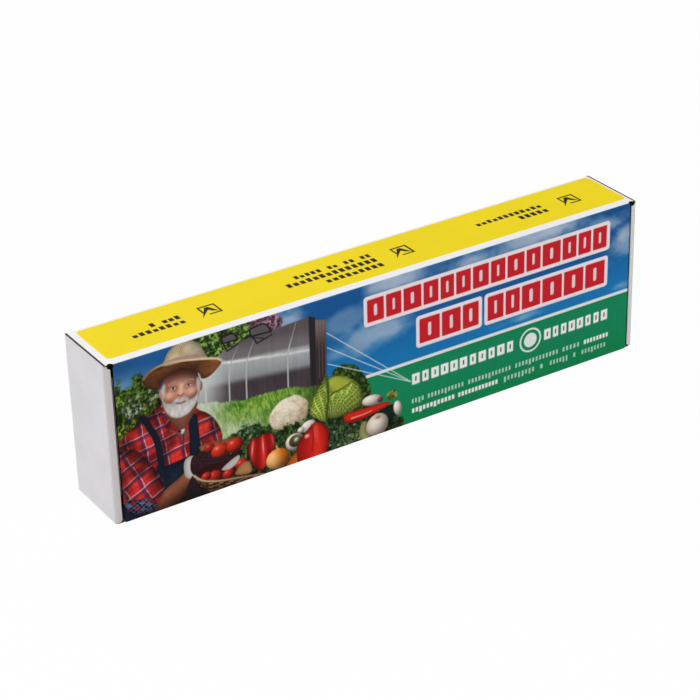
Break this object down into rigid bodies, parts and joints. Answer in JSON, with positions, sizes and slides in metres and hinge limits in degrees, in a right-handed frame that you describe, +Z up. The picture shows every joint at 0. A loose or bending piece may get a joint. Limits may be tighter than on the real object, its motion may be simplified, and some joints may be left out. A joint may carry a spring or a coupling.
{
  "type": "boxed linear actuator",
  "caption": "Wax-driven linear actuator for greenhouse vents with fork brackets and screws, in a printed tuck-front mailer carton whose lid swings up.",
  "frame": {"origin": "middle of the carton's footprint, on the surface that the carton stands on", "axes": "+X along the carton, towards the actuator's rod end; -Y faces the lid; +Z up"},
  "size_m": [0.364, 0.048, 0.1],
  "materials": {
    "printed_board": "coated white liner with a full-colour garden print, semi-gloss",
    "yellow_board": "coated white liner printed yellow inside a white border",
    "white_board": "white coated liner on fine-flute corrugated board",
    "brown_board": "plain kraft corrugated board",
    "anodised_aluminium": "satin natural anodised, fine turning marks",
    "bright_steel": "ground and polished",
    "zinc_plate": "bright zinc plated pressed steel",
    "bearing_bronze": "turned bearing bronze",
    "black_rubber": "matt nitrile rubber",
    "paraffin_wax": "translucent cream wax",
    "leaflet_paper": "uncoated folded paper",
    "clear_film": "clear polythene film"
  },
  "bodies": {
    "tray": {"top_wall": "yellow_board", "back_panel": "white_board", "bottom_wall": "white_board", "end_wall_outer_left": "white_board", "end_wall_outer_right": "white_board", "end_rim_left": "white_board", "end_rim_right": "white_board", "end_wall_inner_left": "white_board", "end_wall_inner_right": "white_board", "corner_tab_top_left": "white_board", "corner_tab_top_right": "white_board", "corner_tab_bottom_left": "white_board", "corner_tab_bottom_right": "white_board", "cradle_rear": "brown_board", "cradle_front": "brown_board", "rear_plug": "anodised_aluminium", "cylinder_tube": "anodised_aluminium", "gland_nut": "anodised_aluminium", "bracket_screw_1": "zinc_plate", "bracket_screw_2": "zinc_plate", "bracket_screw_3": "zinc_plate", "bracket_screw_4": "zinc_plate", "bracket_screw_5": "zinc_plate", "bracket_screw_6": "zinc_plate", "guide_bush": "bearing_bronze", "plug_oring": "black_rubber", "rod_seal": "black_rubber", "rod_wiper": "black_rubber", "thermal_wax": "paraffin_wax", "leaflet": "leaflet_paper", "hardware_pouch": "clear_film"},
    "lid": {"lid_panel": "printed_board"},
    "tuck_flap": {"lid_tuck_flap": "white_board"},
    "ear_left": {"lid_ear_left": "white_board"},
    "ear_right": {"lid_ear_right": "white_board"},
    "rod": {"piston_rod": "bright_steel", "rod_lock_nut": "zinc_plate", "rod_eye": "anodised_aluminium"},
    "frame_mount": {"frame_bracket": "zinc_plate", "frame_pin": "bright_steel", "frame_clip": "bright_steel"},
    "vent_mount": {"vent_bracket": "zinc_plate", "vent_pin": "bright_steel", "vent_clip": "bright_steel"}
  },
  "joints": [
    {"name": "lid_hinge", "type": "hinge", "parent": "tray", "child": "lid", "pos_m": [0, -0.024, 0.1], "axis": [-1, 0, 0], "range_deg": [0, 180]},
    {"name": "tuck_fold", "type": "hinge", "parent": "lid", "child": "tuck_flap", "pos_m": [0, -0.024, 0.0015], "axis": [-1, 0, 0], "range_deg": [0, 54]},
    {"name": "ear_left_fold", "type": "hinge", "parent": "lid", "child": "ear_left", "pos_m": [-0.1772, -0.024, 0.1], "axis": [0, 0, 1], "range_deg": [0, 27]},
    {"name": "ear_right_fold", "type": "hinge", "parent": "lid", "child": "ear_right", "pos_m": [0.1772, -0.024, 0.1], "axis": [0, 0, -1], "range_deg": [0, 27]},
    {"name": "rod_slide", "type": "slide", "parent": "tray", "child": "rod", "axis": [1, 0, 0], "range_m": [0, 0.09]},
    {"name": "frame_pivot", "type": "hinge", "parent": "tray", "child": "frame_mount", "pos_m": [-0.1392, 0, 0.05], "axis": [0, 1, 0], "range_deg": [0, 180]},
    {"name": "vent_pivot", "type": "hinge", "parent": "rod", "child": "vent_mount", "pos_m": [0.0492, 0, 0.05], "axis": [0, -1, 0], "range_deg": [0, 180]}
  ],
  "couplings": [
    {"joint": "tuck_fold", "follows": "lid_hinge", "ratio": 0.3},
    {"joint": "ear_left_fold", "follows": "lid_hinge", "ratio": 0.15},
    {"joint": "ear_right_fold", "follows": "lid_hinge", "ratio": 0.15}
  ]
}
